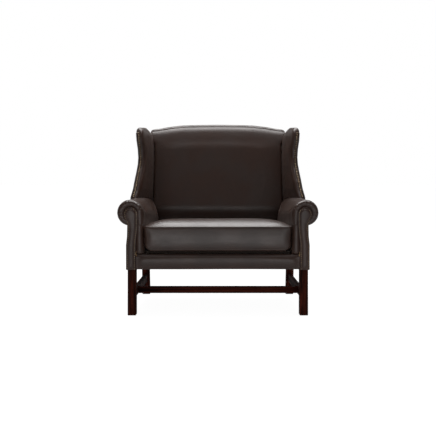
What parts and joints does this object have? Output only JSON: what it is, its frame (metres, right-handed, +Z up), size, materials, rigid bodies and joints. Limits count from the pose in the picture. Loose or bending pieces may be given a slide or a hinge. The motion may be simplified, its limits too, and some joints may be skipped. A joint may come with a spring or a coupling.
{
  "type": "chair and a half",
  "caption": "Wide wing-backed easy chair with rolled arms, scroll facings, a zipped loose box cushion, and square wooden legs joined by stretchers.",
  "frame": {"origin": "on the floor, under the middle of the chair's bounding box", "axes": "+Z up, the front faces -Y, +X is the right as seen from the front"},
  "size_m": [1.103, 0.8186, 1.086],
  "materials": {
    "leather": "dark brown, half gloss, fine grain",
    "leg_wood": "deep red-brown, half gloss",
    "frame_wood": "plain sawn",
    "nail_brass": "antique, half gloss",
    "webbing": "woven",
    "deck_cloth": "plain, matte",
    "bottom_cloth": "matte",
    "foam": "open cells, matte",
    "zip_tape": "woven",
    "zip_metal": "antique",
    "screw_steel": "zinc"
  },
  "bodies": {
    "frame": {"front_leg_left": "leg_wood", "front_leg_right": "leg_wood", "rear_leg_left": "leg_wood", "rear_leg_right": "leg_wood", "side_stretcher_left": "leg_wood", "side_stretcher_right": "leg_wood", "cross_stretcher": "leg_wood", "front_rail": "frame_wood", "back_rail": "frame_wood", "side_rail_left": "frame_wood", "side_rail_right": "frame_wood", "corner_blocks": "frame_wood", "corner_screws": "screw_steel", "arm_post_left": "frame_wood", "arm_post_right": "frame_wood", "arm_top_rail_left": "frame_wood", "arm_top_rail_right": "frame_wood", "arm_tack_rail_left": "frame_wood", "arm_tack_rail_right": "frame_wood", "back_post_left": "frame_wood", "back_post_right": "frame_wood", "crest_rail": "frame_wood", "back_tack_rail": "frame_wood", "wing_board_left": "frame_wood", "wing_board_right": "frame_wood", "seat_webbing_long": "webbing", "seat_webbing_cross": "webbing", "back_webbing": "webbing", "seat_deck": "deck_cloth", "front_rail_cover": "leather", "bottom_cloth": "bottom_cloth", "inside_arm_left": "leather", "inside_arm_right": "leather", "outside_arm_left": "leather", "outside_arm_right": "leather", "facing_left": "leather", "facing_right": "leather", "inside_wing_left": "leather", "inside_wing_right": "leather", "outside_wing_left": "leather", "outside_wing_right": "leather", "inside_back": "leather", "outside_back": "leather", "facing_nails_left": "nail_brass", "facing_nails_right": "nail_brass", "wing_nails_left": "nail_brass", "wing_nails_right": "nail_brass"},
    "cushion": {"cushion_cover": "leather", "cushion_foam": "foam", "cushion_zip": "zip_tape"},
    "slider": {"zip_slider": "zip_metal"}
  },
  "joints": [
    {"name": "cushion_lift", "type": "slide", "parent": "frame", "child": "cushion", "axis": [0, 0, 1], "range_m": [0, 0.3]},
    {"name": "zip_slide", "type": "slide", "parent": "cushion", "child": "slider", "axis": [1, 0, 0], "range_m": [0, 0.606]}
  ]
}
